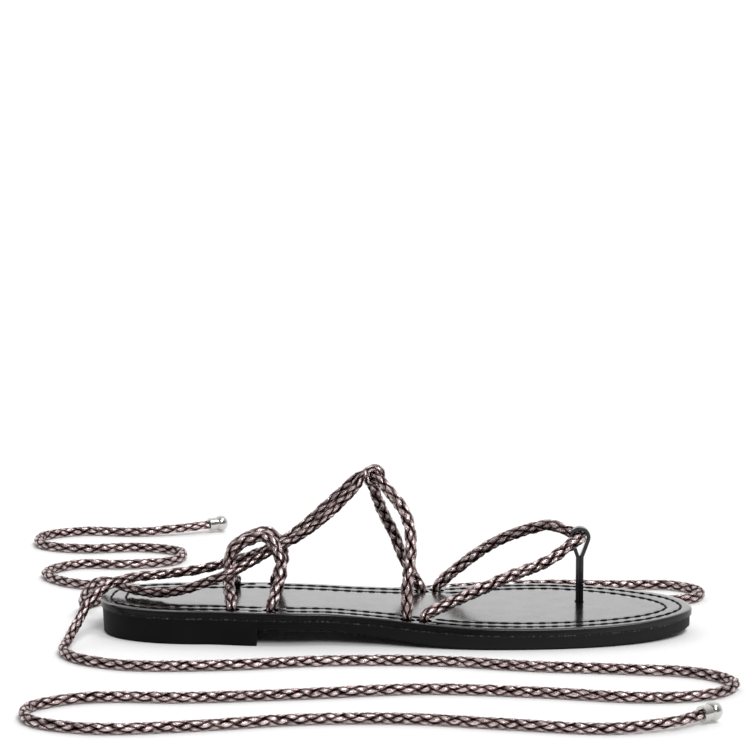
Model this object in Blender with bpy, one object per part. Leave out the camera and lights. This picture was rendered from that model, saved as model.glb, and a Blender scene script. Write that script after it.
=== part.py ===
"""Right-foot flat lace-up sandal: moulded sole, stitched footbed and braided cord straps.

Sizes are in millimetres. The toe points along +X, the medial side is +Y, the floor is Z = 0,
and the origin is the middle of the sole's outline on the floor.
"""

import math
from collections import namedtuple

import bmesh
import bpy
from mathutils import Vector

for leftover in list(bpy.data.objects):
    bpy.data.objects.remove(leftover, do_unlink=True)

MM = 0.001
GAP = 0.3

# Sole outline: the sides follow a table, heel and toe close with rounded end curves
HEEL_BACK_X = -124.0
HEEL_ROUND_X = -80.0
HEEL_MIDDLE_Y = -6.0
HEEL_LATERAL_ROUND = 2.2
HEEL_MEDIAL_ROUND = 2.9
TOE_TIP_X = 124.0
TOE_LATERAL_START_X = 40.0
TOE_MEDIAL_START_X = 62.0
TOE_MIDDLE_Y = -7.0
TOE_LATERAL_ROUND = 2.1
TOE_MEDIAL_ROUND = 1.8
EDGE_LATERAL, EDGE_MEDIAL = 1, 2
SIDE_EDGES = (
    # x, lateral edge, medial edge
    (-80.0, -34.5, 23.0),
    (-59.0, -37.2, 23.4),
    (-44.0, -38.2, 21.0),
    (-26.0, -36.6, 20.6),
    (-8.0, -37.8, 23.0),
    (14.0, -41.7, 29.0),
    (28.0, -43.5, 35.2),
    (40.0, -44.0, 41.2),
    (62.0, -43.0, 44.0),
)

# Sole heights: the footbed's top and the outsole's underside along the foot
TOP, UNDER = 1, 2
HEIGHTS = (
    # x, footbed top, outsole underside
    (-124.0, 14.2, 6.9),
    (-46.0, 14.2, 6.9),
    (-32.0, 13.8, 6.7),
    (-10.0, 12.3, 4.4),
    (14.0, 10.4, 1.3),
    (36.0, 9.3, 0.0),
    (58.0, 9.0, 0.0),
    (76.0, 9.0, 0.0),
    (100.0, 9.4, 0.7),
    (124.0, 10.6, 2.4),
)
FOOTBED_THICKNESS = 2.7
FOOTBED_EDGE_ROUND = 0.5
OUTSOLE_STEP = 0.8
OUTSOLE_EDGE_ROUND = 0.8
HEEL_BREAST_X = -57.0
HEEL_BREAST_SLOPE = 0.6
HEEL_TAPER = 0.5

# Braided cord: rings follow each other by an even share of a braid cell, and the raised strips alternate
STRAP_RADIUS = 2.65
LACE_RADIUS = 2.2
BRAID_CELL = 5.5
BRAID_SIDES = 8
STRAP_RELIEF = 0.32
LACE_RELIEF = 0.22
SMOOTH_END_RINGS = 3
SQUEEZE_RAMP = 4.0

# Where a cord is gripped by another piece, and the share of its radius that it keeps there
Squeeze = namedtuple("Squeeze", "place share half_length")
INSTEP_HITCH = Squeeze((-8.8, -5.6, 66.1), 0.42, 5.0)
LACE_HITCH = Squeeze((-8.8, -5.6, 66.1), 0.6, 8.0)
POST_GRIP = Squeeze((77.8, 7.6, 37.0), 0.74, 4.2)

# One half of the lace's hitch on the top of the instep loop, from a bar to the middle of the bight:
# over the loop, round its toe side, back under it, then out and up across both bars
HITCH_HALF = (
    # towards the toe, out from the middle, up
    (-5.0, 1.55, -1.0),
    (-2.6, 1.5, 1.5),
    (-1.1, 1.5, 2.6),
    (1.0, 1.5, 2.7),
    (2.6, 1.5, 1.1),
    (2.6, 1.5, -1.1),
    (1.0, 1.5, -2.7),
    (-1.2, 2.1, -3.1),
    (-3.4, 3.7, -2.5),
    (-5.0, 4.5, -0.7),
    (-5.9, 3.6, 1.1),
    (-6.1, 1.9, 2.0),
    (-6.1, 0.0, 2.15),
)

# Where the straps enter the footbed: x, y
THONG_LATERAL_HOLE = (11.3, -34.4)
THONG_MEDIAL_HOLE = (17.6, 24.2)
INSTEP_LATERAL_HOLE = (4.4, -35.3)
INSTEP_MEDIAL_HOLE = (10.9, 20.6)
LOOP_BACK_HOLE = (-67.9, -29.9)
LOOP_FRONT_HOLE = (-51.7, -31.6)
LOOP_MIRROR_Y = -6.45
HOLE_SIDES = 16

# Toe post: a strap folded round the thong's bight, with a doubled tail down to its slot
POST_X = 77.8
POST_Y = 7.6
POST_RING_Z = 37.0
POST_RING_INNER = 2.85
POST_STRAP_THICKNESS = 1.6
POST_STRAP_WIDTH = 4.0
POST_FOLD_DROP = 8.5
POST_RING_SEGMENTS = 20

# Lace ties
TIE_RADIUS = 2.2
TIE_POINT_SPACING = 13.0
FLOOR_Z = 2.35

# Metal end cap: x along the cap from its open end, radius
CAP_PROFILE = (
    (0.0, 2.5), (0.0, 3.1), (4.2, 3.1), (5.0, 3.7),
    (7.4, 3.7), (8.6, 2.9), (9.2, 1.5), (9.4, 0.0),
)
CAP_SEGMENTS = 16


def smooth_column(rows, column, x):
    """A smooth curve without overshoot through one column of a table, level at both ends."""
    if x <= rows[0][0]:
        return rows[0][column]
    if x >= rows[-1][0]:
        return rows[-1][column]
    slopes = [(b[column] - a[column]) / (b[0] - a[0]) for a, b in zip(rows, rows[1:])]

    def tangent(i):
        if i in (0, len(rows) - 1) or slopes[i - 1] * slopes[i] <= 0:
            return 0.0
        return 2 * slopes[i - 1] * slopes[i] / (slopes[i - 1] + slopes[i])

    i = max(k for k in range(len(rows) - 1) if rows[k][0] <= x)
    width = rows[i + 1][0] - rows[i][0]
    t = (x - rows[i][0]) / width
    start, end = rows[i][column], rows[i + 1][column]
    bend = t * (1 - t) * ((1 - t) * tangent(i) - t * tangent(i + 1)) * width
    return start + (end - start) * t * t * (3 - 2 * t) + bend


def round_end(start_y, middle_y, share, roundness):
    """A rounded end curve from a side's edge in to the sole's middle line."""
    return middle_y + (start_y - middle_y) * (1 - share**roundness) ** (1 / roundness)


def edge_y(x, medial, inset=0.0):
    """The sole's lateral or medial edge at a station, drawn in by an inset."""
    column = EDGE_MEDIAL if medial else EDGE_LATERAL
    inward = -inset if medial else inset
    toe_start = TOE_MEDIAL_START_X if medial else TOE_LATERAL_START_X
    if x < HEEL_ROUND_X:
        roundness = HEEL_MEDIAL_ROUND if medial else HEEL_LATERAL_ROUND
        share = (HEEL_ROUND_X - x) / (HEEL_ROUND_X - HEEL_BACK_X - inset)
        start_y = smooth_column(SIDE_EDGES, column, HEEL_ROUND_X) + inward
        return round_end(start_y, HEEL_MIDDLE_Y, share, roundness)
    if x > toe_start:
        roundness = TOE_MEDIAL_ROUND if medial else TOE_LATERAL_ROUND
        share = (x - toe_start) / (TOE_TIP_X - inset - toe_start)
        start_y = smooth_column(SIDE_EDGES, column, toe_start) + inward
        return round_end(start_y, TOE_MIDDLE_Y, share, roundness)
    return smooth_column(SIDE_EDGES, column, x) + inward


def footbed_top(x):
    """Height of the footbed's top at a station."""
    return smooth_column(HEIGHTS, TOP, x)


def footbed_bottom(x):
    """Height of the footbed's underside at a station."""
    return footbed_top(x) - FOOTBED_THICKNESS


def stations(inset):
    """Stations along the sole, closer together where heel and toe turn in."""
    end_share = 0.975
    heel_count, middle_count, toe_count = 9, 17, 12
    heel_length = HEEL_ROUND_X - HEEL_BACK_X - inset
    toe_length = TOE_TIP_X - inset - TOE_LATERAL_START_X
    turn = end_share * math.pi / 2
    heel = [HEEL_ROUND_X - heel_length * math.sin(turn * k / heel_count) for k in range(heel_count, 0, -1)]
    middle_step = (TOE_LATERAL_START_X - HEEL_ROUND_X) / middle_count
    middle = [HEEL_ROUND_X + middle_step * k for k in range(middle_count)]
    toe = [TOE_LATERAL_START_X + toe_length * math.sin(turn * k / toe_count) for k in range(toe_count + 1)]
    return heel + middle + toe


def make_material(name, color, roughness, metallic=0.0):
    material = bpy.data.materials.new(name)
    material.use_nodes = True
    shader = material.node_tree.nodes["Principled BSDF"]
    shader.inputs["Base Color"].default_value = (*color, 1.0)
    shader.inputs["Roughness"].default_value = roughness
    shader.inputs["Metallic"].default_value = metallic
    material.diffuse_color = (*color, 1.0)
    return material


def make_collection(name):
    collection = bpy.data.collections.new(name)
    bpy.context.scene.collection.children.link(collection)
    return collection


sandal = make_collection("lace_up_sandal")
footbed_cutters = make_collection("footbed_cutters")

rubber = make_material("black_moulded_rubber", (0.012, 0.012, 0.013), 0.6)
faux_leather = make_material("black_faux_leather", (0.010, 0.010, 0.011), 0.35)
post_leather = make_material("black_gloss_strap", (0.008, 0.007, 0.009), 0.2)
braid = make_material("pewter_braid", (0.16, 0.12, 0.115), 0.32, 0.55)
cap_metal = make_material("bright_cap_metal", (0.8, 0.8, 0.8), 0.15, 1.0)


def add_mesh(name, bm, material, collection=sandal):
    """Turn a finished bmesh into a named object."""
    bmesh.ops.recalc_face_normals(bm, faces=bm.faces)
    mesh = bpy.data.meshes.new(name)
    bm.to_mesh(mesh)
    bm.free()
    if material:
        mesh.materials.append(material)
    piece = bpy.data.objects.new(name, mesh)
    collection.objects.link(piece)
    return piece


def loft(name, rings, material):
    """A closed solid through rings of points that all have the same number of corners."""
    bm = bmesh.new()
    loops = [[bm.verts.new(Vector(point) * MM) for point in ring] for ring in rings]
    corners = len(loops[0])
    for ring, following in zip(loops, loops[1:]):
        for k in range(corners):
            after = (k + 1) % corners
            bm.faces.new((ring[k], ring[after], following[after], following[k]))
    bm.faces.new(loops[0])
    bm.faces.new(loops[-1])
    return add_mesh(name, bm, material)


def footbed_ring(x):
    lateral, medial = edge_y(x, False), edge_y(x, True)
    top, bottom = footbed_top(x), footbed_bottom(x)
    shoulder = min(FOOTBED_EDGE_ROUND, 0.2 * (medial - lateral))
    return [
        (x, lateral, bottom),
        (x, lateral, top - FOOTBED_EDGE_ROUND),
        (x, lateral + shoulder, top),
        (x, medial - shoulder, top),
        (x, medial, top - FOOTBED_EDGE_ROUND),
        (x, medial, bottom),
    ]


def outsole_ring(x):
    """One section: a step in from the footbed, and under the heel a taper down to the floor."""
    on_heel = x < HEEL_BREAST_X - HEEL_BREAST_SLOPE / 2
    lateral, medial = edge_y(x, False, OUTSOLE_STEP), edge_y(x, True, OUTSOLE_STEP)
    top = footbed_bottom(x) - GAP
    under = 0.0 if on_heel else smooth_column(HEIGHTS, UNDER, x)
    half = (medial - lateral) / 2
    taper = min(HEEL_TAPER if on_heel else 0.0, 0.3 * half)
    shoulder = min(OUTSOLE_EDGE_ROUND, 0.2 * half)
    return [
        (x, lateral, top),
        (x, lateral + taper, under + OUTSOLE_EDGE_ROUND),
        (x, lateral + taper + shoulder, under),
        (x, medial - taper - shoulder, under),
        (x, medial - taper, under + OUTSOLE_EDGE_ROUND),
        (x, medial, top),
    ]


def outsole_stations():
    breast = [HEEL_BREAST_X - HEEL_BREAST_SLOPE, HEEL_BREAST_X]
    others = [x for x in stations(OUTSOLE_STEP) if min(abs(x - edge) for edge in breast) > 1.5]
    return sorted(others + breast)


def add_hole_cutter(name, place, radius):
    x, y = place
    bm = bmesh.new()
    bmesh.ops.create_cone(
        bm, cap_ends=True, segments=HOLE_SIDES, radius1=radius * MM, radius2=radius * MM,
        depth=3 * FOOTBED_THICKNESS * MM,
    )
    cutter = add_mesh(name, bm, None, footbed_cutters)
    cutter.location = Vector((x, y, footbed_top(x) - FOOTBED_THICKNESS / 2)) * MM
    return cutter


def add_slot_cutter():
    bm = bmesh.new()
    bmesh.ops.create_cube(bm, size=1.0)
    cutter = add_mesh("post_slot_cutter", bm, None, footbed_cutters)
    cutter.location = Vector((POST_X, POST_Y, footbed_top(POST_X) - FOOTBED_THICKNESS / 2)) * MM
    cutter.scale = Vector((
        2 * POST_STRAP_THICKNESS + 2 * GAP, POST_STRAP_WIDTH + 2 * GAP, 3 * FOOTBED_THICKNESS,
    )) * MM
    return cutter


def mirrored(points):
    """The same points on the other side of the heel's middle plane."""
    return [(x, 2 * LOOP_MIRROR_Y - y, *rest) for x, y, *rest in points]


def even_points(route, spacing):
    """Points at an even spacing on a smooth curve through a route's own points."""
    knots = [Vector(point) for point in route]
    tangents = []
    for i in range(len(knots)):
        before, after = knots[max(i - 1, 0)], knots[min(i + 1, len(knots) - 1)]
        reach = (knots[i] - before).length + (after - knots[i]).length
        tangents.append((after - before) / reach)
    fine = [knots[0]]
    samples = 20
    for i in range(len(knots) - 1):
        chord = (knots[i + 1] - knots[i]).length
        for s in range(1, samples + 1):
            t = s / samples
            fine.append(
                knots[i] * (1 + 2 * t) * (1 - t) ** 2
                + tangents[i] * chord * t * (1 - t) ** 2
                + knots[i + 1] * t * t * (3 - 2 * t)
                + tangents[i + 1] * chord * t * t * (t - 1)
            )
    lengths = [0.0]
    for a, b in zip(fine, fine[1:]):
        lengths.append(lengths[-1] + (b - a).length)
    count = max(2, round(lengths[-1] / spacing))
    points = []
    place = 0
    for k in range(count + 1):
        goal = lengths[-1] * k / count
        while place < len(fine) - 2 and lengths[place + 1] < goal:
            place += 1
        share = (goal - lengths[place]) / (lengths[place + 1] - lengths[place])
        points.append(fine[place].lerp(fine[place + 1], share))
    return points


def squeeze_at(point, squeeze):
    """The share of its radius that a cord keeps near the place where another piece grips it."""
    if squeeze is None:
        return 1.0
    past = max(0.0, (point - Vector(squeeze.place)).length - squeeze.half_length) / SQUEEZE_RAMP
    return squeeze.share + (1 - squeeze.share) * min(1.0, past)


def braided_cord(name, route, radius, relief, squeeze=None, rings_per_cell=2):
    """A round braid along a route: four columns of raised strips, each half a cell off the next."""
    path = even_points(route, BRAID_CELL / rings_per_cell)
    across = (path[1] - path[0]).orthogonal().normalized()
    rings = []
    for i, point in enumerate(path):
        along = (path[min(i + 1, len(path) - 1)] - path[max(i - 1, 0)]).normalized()
        across = (across - along * across.dot(along)).normalized()
        upright = along.cross(across)
        kept = squeeze_at(point, squeeze)
        near_end = min(i, len(path) - 1 - i) < SMOOTH_END_RINGS
        height = 0.0 if near_end or kept < 1 else relief * math.cos(2 * math.pi * i / rings_per_cell)
        ring = []
        for k in range(BRAID_SIDES):
            angle = 2 * math.pi * k / BRAID_SIDES
            reach = radius * kept + height * math.sin(2 * angle)
            ring.append(point + (across * math.cos(angle) + upright * math.sin(angle)) * reach)
        rings.append(ring)
    return loft(name, rings, braid)


def strap_foot(hole):
    """The two lowest points of a strap, straight down in its hole in the footbed."""
    x, y = hole
    return [(x, y, footbed_bottom(x) + GAP), (x, y, footbed_top(x) + 1.2)]


# Sole
outsole = loft("outsole", [outsole_ring(x) for x in outsole_stations()], rubber)
footbed = loft("footbed", [footbed_ring(x) for x in stations(0.0)], faux_leather)

strap_holes = {
    "thong_lateral": THONG_LATERAL_HOLE,
    "thong_medial": THONG_MEDIAL_HOLE,
    "instep_lateral": INSTEP_LATERAL_HOLE,
    "instep_medial": INSTEP_MEDIAL_HOLE,
    "loop_lateral_back": LOOP_BACK_HOLE,
    "loop_lateral_front": LOOP_FRONT_HOLE,
    "loop_medial_back": mirrored([LOOP_BACK_HOLE])[0],
    "loop_medial_front": mirrored([LOOP_FRONT_HOLE])[0],
}
cutters = [add_hole_cutter(f"{name}_cutter", hole, STRAP_RADIUS + GAP) for name, hole in strap_holes.items()]
cutters.append(add_slot_cutter())
for cutter in cutters:
    cutter.hide_render = True
    cutter.display_type = "WIRE"
holes = footbed.modifiers.new("strap_holes", "BOOLEAN")
holes.operation = "DIFFERENCE"
holes.operand_type = "COLLECTION"
holes.collection = footbed_cutters

# Straps: each route is chosen by hand and runs from one hole to the other
thong_route = strap_foot(THONG_LATERAL_HOLE) + [
    (13.9, -32.2, 13.6),
    (19.0, -28.4, 15.0),
    (25.1, -24.0, 16.9),
    (33.7, -18.0, 19.2),
    (40.8, -13.6, 21.6),
    (49.0, -8.5, 24.0),
    (57.9, -3.4, 26.2),
    (65.5, 0.2, 29.0),
    (70.4, 1.9, 32.4),
    (74.0, 2.7, 35.0),
    (77.3, 4.4, 36.6),
    POST_GRIP.place,
    (77.3, 10.8, 37.4),
    (73.8, 12.9, 38.2),
    (70.5, 14.9, 39.2),
    (65.5, 18.4, 39.9),
    (58.5, 21.6, 38.0),
    (50.5, 24.4, 34.8),
    (43.2, 26.0, 31.2),
    (36.2, 26.6, 26.8),
    (29.0, 26.6, 21.3),
    (23.6, 25.9, 17.2),
    (19.4, 24.8, 13.6),
] + strap_foot(THONG_MEDIAL_HOLE)[::-1]
braided_cord("toe_thong", thong_route, STRAP_RADIUS, STRAP_RELIEF, POST_GRIP)

instep_route = strap_foot(INSTEP_LATERAL_HOLE) + [
    (4.2, -34.6, 19.0),
    (4.7, -33.2, 27.0),
    (5.6, -31.4, 35.0),
    (5.9, -29.0, 42.0),
    (5.2, -26.0, 48.7),
    (3.2, -22.8, 54.0),
    (-0.4, -18.8, 58.4),
    (-3.8, -14.4, 61.8),
    (-6.6, -11.4, 64.7),
    (-8.4, -8.8, 66.0),
    INSTEP_HITCH.place,
    (-8.9, -2.5, 65.9),
    (-9.6, 0.6, 63.4),
    (-9.4, 3.2, 59.2),
    (-8.2, 6.4, 54.6),
    (-6.6, 9.8, 49.8),
    (-4.6, 14.4, 44.2),
    (-1.2, 18.2, 37.2),
    (2.2, 20.8, 27.8),
    (6.3, 21.8, 19.6),
    (9.6, 21.4, 14.0),
] + strap_foot(INSTEP_MEDIAL_HOLE)[::-1]
braided_cord("instep_loop", instep_route, STRAP_RADIUS, STRAP_RELIEF, INSTEP_HITCH)

loop_route = [
    (-68.4, -27.2, 17.4),
    (-69.2, -21.6, 19.4),
    (-69.6, -16.2, 20.9),
    (-69.8, -12.6, 23.6),
    (-69.8, -10.9, 28.6),
    (-68.9, -10.3, 33.9),
    (-66.2, -10.2, 36.7),
    (-61.6, -10.3, 39.3),
    (-57.2, -10.7, 40.8),
    (-53.2, -12.2, 40.6),
    (-50.4, -15.0, 37.5),
    (-48.2, -18.1, 32.8),
    (-47.7, -21.2, 28.8),
    (-48.5, -24.8, 24.2),
    (-50.4, -28.8, 19.2),
]
for side, holes_of_side, route in (
    ("lateral", (LOOP_BACK_HOLE, LOOP_FRONT_HOLE), loop_route),
    ("medial", mirrored((LOOP_BACK_HOLE, LOOP_FRONT_HOLE)), mirrored(loop_route)),
):
    back_hole, front_hole = holes_of_side
    whole_route = strap_foot(back_hole) + route + strap_foot(front_hole)[::-1]
    braided_cord(f"heel_loop_{side}", whole_route, STRAP_RADIUS, STRAP_RELIEF)

# Toe post: the flat outline of a folded strap with its tail, as wide as the strap
def teardrop(radius, half_width, drop):
    """An arc round the thong, closed by straight sides down to a narrow end."""
    start = math.asin(radius / math.hypot(half_width, drop)) - math.atan2(half_width, drop)
    points = []
    for k in range(POST_RING_SEGMENTS + 1):
        angle = -start + (math.pi + 2 * start) * k / POST_RING_SEGMENTS
        points.append((radius * math.cos(angle), POST_RING_Z + radius * math.sin(angle)))
    return points


def toe_post_outline():
    """The folded strap's outside with its doubled tail down through the footbed's slot."""
    half_tail = POST_STRAP_THICKNESS
    tail_top = POST_RING_Z - POST_FOLD_DROP
    tail_end = footbed_bottom(POST_X) + GAP
    tail = [(-half_tail, tail_top), (-half_tail, tail_end), (half_tail, tail_end), (half_tail, tail_top)]
    return teardrop(POST_RING_INNER + POST_STRAP_THICKNESS, half_tail, POST_FOLD_DROP) + tail


def toe_post_hole():
    """The opening that the thong runs through, with the two plies meeting below it."""
    drop = POST_FOLD_DROP - POST_STRAP_THICKNESS
    return teardrop(POST_RING_INNER, 0.0, drop) + [(0.0, POST_RING_Z - drop)]


def add_toe_post():
    curve = bpy.data.curves.new("toe_post", "CURVE")
    curve.dimensions = "2D"
    curve.fill_mode = "BOTH"
    curve.extrude = POST_STRAP_WIDTH / 2 * MM
    for outline in (toe_post_outline(), toe_post_hole()):
        spline = curve.splines.new("POLY")
        spline.points.add(len(outline) - 1)
        spline.use_cyclic_u = True
        for point, (x, z) in zip(spline.points, outline):
            point.co = (x * MM, z * MM, 0.0, 1.0)
    curve.materials.append(post_leather)
    piece = bpy.data.objects.new("toe_post", curve)
    piece.rotation_euler = (math.pi / 2, 0.0, 0.0)
    piece.location = Vector((POST_X, POST_Y, 0.0)) * MM
    sandal.objects.link(piece)


add_toe_post()

# Lace: from the lateral heel loop up to its hitch on the instep loop, and down to the medial heel loop
def hitch_half(side):
    """One half of the hitch, on the lateral side for -1 and on the medial side for 1."""
    x, y, z = LACE_HITCH.place
    return [(x + toe, y + side * out, z + up) for toe, out, up in HITCH_HALF]


lace_route = [
    (-78.0, -17.8, 23.4),
    (-69.6, -18.7, 26.9),
    (-60.0, -13.9, 31.0),
    (-50.4, -9.3, 35.7),
    (-39.5, -8.8, 41.4),
    (-27.6, -8.8, 50.6),
    (-21.9, -8.5, 56.2),
    (-17.2, -7.8, 61.2),
] + hitch_half(-1) + hitch_half(1)[-2::-1] + [
    (-17.2, -3.4, 62.8),
    (-21.9, -3.4, 59.0),
    (-27.7, -3.3, 54.3),
    (-39.6, -3.3, 43.5),
    (-50.4, -3.6, 35.9),
    (-60.0, 1.0, 31.0),
    (-69.6, 5.8, 26.9),
    (-78.0, 5.0, 24.6),
]
braided_cord("lace", lace_route, LACE_RADIUS, LACE_RELIEF, LACE_HITCH, rings_per_cell=4)

# Ties: over the footbed, crossing behind the heel, then in loose curves on the floor
lateral_tie_route = [
    (-78.4, -17.75, 23.2),
    (-86.0, -15.4, 20.0),
    (-97.0, -12.4, 17.2),
    (-110.0, -5.6, 17.0),
    (-119.0, 1.6, 18.6),
    (-126.2, 8.4, 17.4),
    (-132.0, 15.6, 11.4),
    (-134.4, 24.0, 5.0),
    (-133.0, 33.0, FLOOR_Z),
    (-124.0, 43.0, FLOOR_Z),
    (-108.0, 44.0, FLOOR_Z),
    (-82.0, 36.5, FLOOR_Z),
    (-50.0, 32.0, FLOOR_Z),
    (-18.0, 35.0, FLOOR_Z),
    (12.0, 43.0, FLOOR_Z),
    (40.0, 54.0, FLOOR_Z),
    (68.0, 56.5, FLOOR_Z),
    (94.0, 48.5, FLOOR_Z),
    (114.0, 40.0, FLOOR_Z),
    (130.0, 44.0, FLOOR_Z),
    (134.0, 58.0, FLOOR_Z),
    (122.0, 70.0, FLOOR_Z),
    (98.0, 70.0, FLOOR_Z),
    (64.0, 71.0, FLOOR_Z),
    (28.0, 64.0, FLOOR_Z),
    (-8.0, 54.0, FLOOR_Z),
    (-46.0, 51.0, FLOOR_Z),
    (-84.0, 55.0, FLOOR_Z),
    (-118.0, 64.0, FLOOR_Z),
    (-146.0, 76.0, FLOOR_Z),
    (-158.0, 96.0, FLOOR_Z),
    (-146.0, 114.0, FLOOR_Z),
    (-122.0, 114.0, FLOOR_Z),
    (-102.0, 122.0, FLOOR_Z),
    (-100.0, 142.0, FLOOR_Z),
    (-120.0, 152.0, FLOOR_Z),
    (-146.0, 149.0, FLOOR_Z),
    (-166.0, 158.0, FLOOR_Z),
    (-168.0, 178.0, FLOOR_Z),
    (-150.0, 190.0, FLOOR_Z),
    (-124.0, 188.0, FLOOR_Z),
    (-102.0, 192.0, 3.4),
    (-90.0, 197.0, 4.0),
]
medial_tie_route = [
    (-78.5, 4.95, 24.45),
    (-87.0, 3.2, 23.2),
    (-98.0, -0.6, 22.6),
    (-110.0, -6.6, 22.6),
    (-119.0, -14.4, 21.4),
    (-126.8, -22.4, 16.4),
    (-131.4, -31.0, 9.0),
    (-134.4, -41.0, 4.0),
    (-135.0, -53.0, FLOOR_Z),
    (-126.0, -67.0, FLOOR_Z),
    (-104.0, -77.0, FLOOR_Z),
    (-68.0, -76.0, FLOOR_Z),
    (-28.0, -69.0, FLOOR_Z),
    (14.0, -69.0, FLOOR_Z),
    (54.0, -78.0, FLOOR_Z),
    (92.0, -83.0, FLOOR_Z),
    (119.0, -89.0, FLOOR_Z),
    (131.0, -105.0, FLOOR_Z),
    (120.0, -122.0, FLOOR_Z),
    (94.0, -127.0, FLOOR_Z),
    (54.0, -119.0, FLOOR_Z),
    (10.0, -114.0, FLOOR_Z),
    (-34.0, -121.0, FLOOR_Z),
    (-80.0, -127.0, FLOOR_Z),
    (-118.0, -127.0, FLOOR_Z),
    (-139.0, -141.0, FLOOR_Z),
    (-136.0, -161.0, FLOOR_Z),
    (-112.0, -172.0, FLOOR_Z),
    (-76.0, -168.0, FLOOR_Z),
    (-36.0, -159.0, FLOOR_Z),
    (4.0, -158.0, FLOOR_Z),
    (42.0, -166.0, FLOOR_Z),
    (76.0, -172.0, FLOOR_Z),
    (101.0, -167.0, 3.4),
    (112.0, -159.0, 4.0),
]


def add_tie(name, route):
    """A round cord along a route."""
    curve = bpy.data.curves.new(name, "CURVE")
    curve.dimensions = "3D"
    curve.bevel_depth = TIE_RADIUS * MM
    curve.bevel_resolution = 2
    curve.use_fill_caps = True
    path = even_points(route, TIE_POINT_SPACING)
    spline = curve.splines.new("POLY")
    spline.points.add(len(path) - 1)
    for point, place in zip(spline.points, path):
        point.co = (*(place * MM), 1.0)
    curve.materials.append(braid)
    sandal.objects.link(bpy.data.objects.new(name, curve))
    return path[-1], (path[-1] - path[-2]).normalized()


def add_end_cap(name, end, along):
    """A turned metal cap, its open end just past the end of a tie."""
    bm = bmesh.new()
    profile = [bm.verts.new((radius * MM, 0.0, reach * MM)) for reach, radius in CAP_PROFILE]
    start = bm.verts.new((0.0, 0.0, 0.0))
    outline = [start] + profile
    for a, b in zip(outline, outline[1:]):
        bm.edges.new((a, b))
    bmesh.ops.spin(
        bm, geom=bm.edges[:] + bm.verts[:], axis=(0, 0, 1), cent=(0, 0, 0),
        angle=2 * math.pi, steps=CAP_SEGMENTS,
    )
    bmesh.ops.remove_doubles(bm, verts=bm.verts, dist=0.00001)
    cap = add_mesh(name, bm, cap_metal)
    cap.rotation_mode = "QUATERNION"
    cap.rotation_quaternion = along.to_track_quat("Z", "Y")
    cap.location = (end + along * GAP) * MM


for side, route in (("lateral", lateral_tie_route), ("medial", medial_tie_route)):
    end, along = add_tie(f"lace_tie_{side}", route)
    add_end_cap(f"end_cap_{side}", end, along)
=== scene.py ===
"""Looks of the flat lace-up sandal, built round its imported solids: metres, toe along +X, floor at Z = 0."""

import math

import bpy
import numpy as np
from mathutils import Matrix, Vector


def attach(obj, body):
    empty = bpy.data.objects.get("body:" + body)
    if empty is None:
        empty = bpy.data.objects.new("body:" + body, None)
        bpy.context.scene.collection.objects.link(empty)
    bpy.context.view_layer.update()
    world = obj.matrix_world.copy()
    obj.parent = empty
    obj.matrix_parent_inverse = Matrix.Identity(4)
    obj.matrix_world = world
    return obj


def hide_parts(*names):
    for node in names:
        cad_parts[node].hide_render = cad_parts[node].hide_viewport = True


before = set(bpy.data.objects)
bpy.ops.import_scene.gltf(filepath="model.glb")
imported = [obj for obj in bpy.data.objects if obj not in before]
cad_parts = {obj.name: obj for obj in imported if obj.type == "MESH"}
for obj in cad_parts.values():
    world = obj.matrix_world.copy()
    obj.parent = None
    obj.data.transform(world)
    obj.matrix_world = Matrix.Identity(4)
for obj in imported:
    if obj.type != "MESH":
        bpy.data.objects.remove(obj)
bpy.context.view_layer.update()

# Camera
# A long lens at a low height, looking across the sandal's lateral side, so the footbed shows as a thin
# slanted plane and both ends of the sole are in view.
CAMERA_PLACE = (-0.00782, -1.26511, 0.29906)
CAMERA_PITCH = 8.6608
# Half the picture's width and the lens's focal length, both in pixels.
PICTURE_HALF_WIDTH, FOCAL_LENGTH = 377.5, 3066.04
CAMERA_VIEW_ANGLE = 2 * math.atan(PICTURE_HALF_WIDTH / FOCAL_LENGTH)

lens = bpy.data.cameras.new("camera")
lens.angle = CAMERA_VIEW_ANGLE
camera = bpy.data.objects.new("camera", lens)
camera.location = CAMERA_PLACE
camera.rotation_euler = (math.radians(90 - CAMERA_PITCH), 0.0, 0.0)
bpy.context.scene.collection.objects.link(camera)
bpy.context.scene.camera = camera

# Outsole
# One moulded black rubber unit: low heel block with a square breast, arched waist, thin forefoot with a
# little toe spring. It is glued under the footbed and drawn in a little from the footbed's edge.
MM = 0.001
GAP = 0.3
HEEL_BACK_X = -124.0
HEEL_ROUND_X = -80.0
HEEL_MIDDLE_Y = -6.0
HEEL_ROUNDNESS = (2.2, 2.9)
TOE_TIP_X = 124.0
TOE_START_X = (40.0, 62.0)
TOE_MIDDLE_Y = -7.0
TOE_ROUNDNESS = (2.1, 1.8)
LATERAL, MEDIAL = 0, 1
SIDE_EDGES = (
    # x, lateral edge, medial edge
    (-80.0, -34.5, 23.0),
    (-59.0, -37.2, 23.4),
    (-44.0, -38.2, 21.0),
    (-26.0, -36.6, 20.6),
    (-8.0, -37.8, 23.0),
    (14.0, -41.7, 29.0),
    (28.0, -43.5, 35.2),
    (40.0, -44.0, 41.2),
    (62.0, -43.0, 44.0),
)
TOP, UNDER = 1, 2
HEIGHTS = (
    # x, footbed top, outsole underside
    (-124.0, 14.2, 6.9),
    (-46.0, 14.2, 6.9),
    (-32.0, 13.8, 6.7),
    (-10.0, 12.3, 4.4),
    (14.0, 10.4, 1.3),
    (36.0, 9.3, 0.0),
    (58.0, 9.0, 0.0),
    (76.0, 9.0, 0.0),
    (100.0, 9.4, 0.7),
    (124.0, 10.6, 2.4),
)
FOOTBED_THICKNESS = 2.7
OUTSOLE_STEP = 0.8
OUTSOLE_EDGE_ROUND = 0.8
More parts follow.
